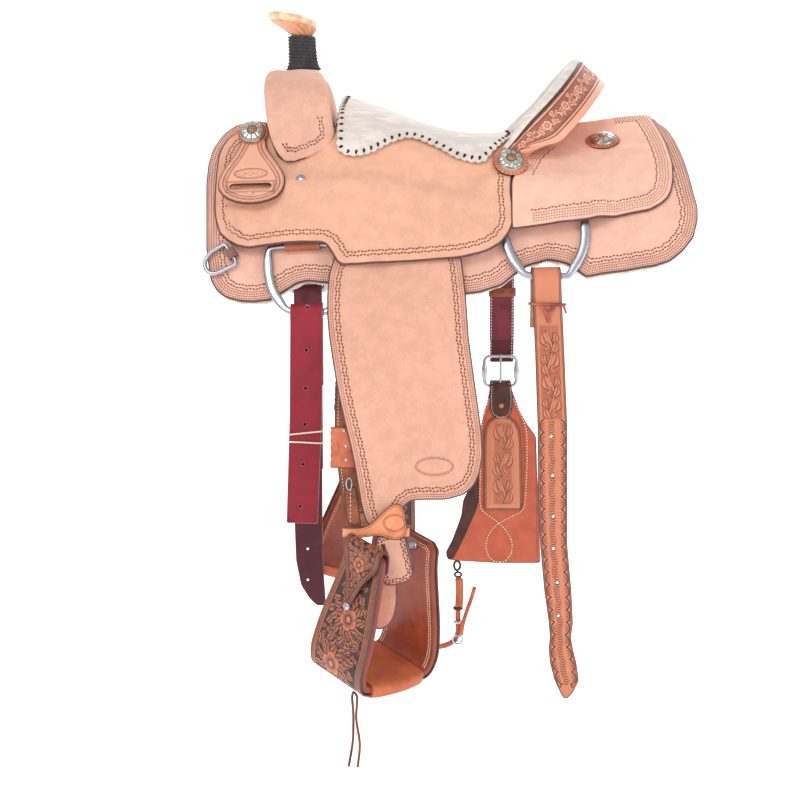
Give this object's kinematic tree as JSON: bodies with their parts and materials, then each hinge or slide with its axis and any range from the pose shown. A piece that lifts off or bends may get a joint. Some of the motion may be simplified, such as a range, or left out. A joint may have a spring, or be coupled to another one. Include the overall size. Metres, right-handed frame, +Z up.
{
  "type": "roping saddle",
  "caption": "Western roping saddle with a wrapped horn, roughout leather, suede seat, tooled cantle, hanging fenders with tooled stirrups, rigging rings, latigo, billets and a flank cinch.",
  "frame": {"origin": "point of the support line under the middle of the seat, on the centre plane", "axes": "+X towards the rear of the saddle, -Y the near (left) side, +Z up"},
  "size_m": [0.7276, 0.7389, 1.1073],
  "materials": {
    "tree_wood": "sealed",
    "roughout": "roughout nap",
    "suede": "suede",
    "tooled": "tooled and antiqued",
    "harness": "oiled",
    "burgundy": "latigo",
    "dark_leather": "oiled",
    "fleece": "woolskin",
    "rawhide": "rawhide",
    "rubber_wrap": "wrapped",
    "horn_metal": "cast",
    "stainless": "polished stainless",
    "silver": "engraved"
  },
  "bodies": {
    "saddle": {"fork": "tree_wood", "fork_cover": "roughout", "horn_core": "horn_metal", "horn_cap_cover": "rawhide", "horn_wrap": "rubber_wrap", "bar_near": "tree_wood", "bar_off": "tree_wood", "seat_jockey": "roughout", "seat_inlay": "suede", "cantle_board": "tree_wood", "cantle_cover": "tooled", "cantle_face": "suede", "rear_jockey_near": "roughout", "rear_jockey_off": "roughout", "skirt_near": "roughout", "skirt_off": "roughout", "fleece_near": "fleece", "fleece_off": "fleece", "front_rig_strap_near": "harness", "front_rig_strap_off": "harness", "rear_rig_strap_near": "harness", "rear_rig_strap_off": "harness", "concho_front_near": "silver", "concho_front_off": "silver", "concho_rear_near": "silver", "concho_rear_off": "silver", "concho_seat_near": "silver", "concho_seat_off": "silver"},
    "keeper": {"latigo_keeper": "harness"},
    "dee_near": {"breast_dee_near": "stainless"},
    "dee_off": {"breast_dee_off": "stainless"},
    "front_ring_near_body": {"front_ring_near": "stainless"},
    "front_ring_off_body": {"front_ring_off": "stainless"},
    "rear_ring_near_body": {"rear_ring_near": "stainless"},
    "rear_ring_off_body": {"rear_ring_off": "stainless"},
    "latigo": {"latigo_near": "burgundy"},
    "billet_off": {"off_billet": "burgundy"},
    "flank_near": {"flank_billet_near": "tooled"},
    "flank_off": {"flank_billet_off": "burgundy", "flank_buckle": "stainless"},
    "buckle_tongue": {"flank_buckle_tongue": "stainless"},
    "cinch": {"flank_cinch": "tooled"},
    "cinch_strap": {"cinch_hobble": "harness"},
    "fender_group_near": {"fender_near": "roughout", "stirrup_leather_near": "dark_leather", "leather_buckle_near": "harness", "hobble_strap_near": "harness", "stirrup_loop_near": "dark_leather"},
    "fender_group_off": {"fender_off": "roughout", "stirrup_leather_off": "dark_leather", "leather_buckle_off": "harness", "hobble_strap_off": "harness", "stirrup_loop_off": "dark_leather"},
    "stirrup_group_near": {"stirrup_near": "tree_wood", "stirrup_cover_near": "tooled", "stirrup_bolt_near": "stainless", "tread_thong": "dark_leather"},
    "stirrup_group_off": {"stirrup_off": "tree_wood", "stirrup_cover_off": "tooled", "stirrup_bolt_off": "stainless"}
  },
  "joints": [
    {"name": "fender_swing_near", "type": "hinge", "parent": "saddle", "child": "fender_group_near", "pos_m": [-0.0844, -0.18095, -0.07455], "axis": [0, -0.9272, 0.3746], "range_deg": [0, 8]},
    {"name": "fender_swing_off", "type": "hinge", "parent": "saddle", "child": "fender_group_off", "pos_m": [-0.0844, 0.18095, -0.07455], "axis": [0, -0.9272, -0.3746], "range_deg": [0, 8]},
    {"name": "stirrup_swing_near", "type": "hinge", "parent": "fender_group_near", "child": "stirrup_group_near", "pos_m": [-0.0905, -0.301, -0.556], "axis": [-0.7169, -0.6972, 0], "range_deg": [-5, 25]},
    {"name": "stirrup_swing_off", "type": "hinge", "parent": "fender_group_off", "child": "stirrup_group_off", "pos_m": [-0.11621, 0.30063, -0.55508], "axis": [-0.7296, 0.683, 0.0351], "range_deg": [-5, 2]},
    {"name": "front_ring_swing_near", "type": "hinge", "parent": "saddle", "child": "front_ring_near_body", "pos_m": [-0.22209, -0.19784, -0.12662], "axis": [-0.9929, 0.1062, -0.0526], "range_deg": [0, 0.2]},
    {"name": "front_ring_swing_off", "type": "hinge", "parent": "saddle", "child": "front_ring_off_body", "pos_m": [-0.25255, 0.1963, -0.12355], "axis": [0.9929, 0.1062, 0.0526], "range_deg": [0, 0.6]},
    {"name": "rear_ring_swing_near", "type": "hinge", "parent": "saddle", "child": "rear_ring_near_body", "pos_m": [0.12733, -0.19324, -0.08026], "axis": [-0.9967, 0.0764, -0.0292], "range_deg": [0, 6]},
    {"name": "rear_ring_swing_off", "type": "hinge", "parent": "saddle", "child": "rear_ring_off_body", "pos_m": [0.09354, 0.19157, -0.07988], "axis": [0.9967, 0.0764, 0.0292], "range_deg": [0, 4]},
    {"name": "latigo_swing", "type": "hinge", "parent": "front_ring_near_body", "child": "latigo", "pos_m": [-0.21077, -0.23752, -0.21992], "axis": [-0.9929, 0.1062, -0.0526], "range_deg": [-4, 45]},
    {"name": "off_billet_swing", "type": "hinge", "parent": "front_ring_off_body", "child": "billet_off", "pos_m": [-0.24123, 0.23599, -0.21685], "axis": [0.9929, 0.1062, 0.0526], "range_deg": [-4, 0]},
    {"name": "flank_billet_swing_near", "type": "hinge", "parent": "rear_ring_near_body", "child": "flank_near", "pos_m": [0.13226, -0.22947, -0.16875], "axis": [-0.9967, 0.0764, -0.0292], "range_deg": [0, 45]},
    {"name": "flank_billet_swing_off", "type": "hinge", "parent": "rear_ring_off_body", "child": "flank_off", "pos_m": [0.09846, 0.22779, -0.16837], "axis": [0.9967, 0.0764, 0.0292], "range_deg": [0, 4]},
    {"name": "cinch_swing", "type": "hinge", "parent": "flank_off", "child": "cinch", "pos_m": [0.09622, 0.21729, -0.38414], "axis": [1, 0, 0], "range_deg": [-12, 4]},
    {"name": "buckle_tongue_lift", "type": "hinge", "parent": "flank_off", "child": "buckle_tongue", "pos_m": [0.09622, 0.21729, -0.38414], "axis": [1, 0, 0], "range_deg": [0, 30]},
    {"name": "cinch_strap_swing", "type": "hinge", "parent": "cinch", "child": "cinch_strap", "pos_m": [0.02451, 0.21679, -0.70989], "axis": [1, 0, 0], "range_deg": [-30, 30]},
    {"name": "breast_dee_swing_near", "type": "hinge", "parent": "saddle", "child": "dee_near", "pos_m": [-0.32903, -0.19059, -0.13849], "axis": [-0.5232, 0.4042, 0.7503], "range_deg": [0, 60]},
    {"name": "breast_dee_swing_off", "type": "hinge", "parent": "saddle", "child": "dee_off", "pos_m": [-0.32903, 0.19059, -0.13849], "axis": [0.5232, 0.4042, -0.7503], "range_deg": [0, 60]},
    {"name": "keeper_turn", "type": "hinge", "parent": "saddle", "child": "keeper", "pos_m": [-0.30103, -0.10143, 0.03477], "axis": [-0.0571, -0.7685, 0.6373], "range_deg": [-15, 4]}
  ]
}
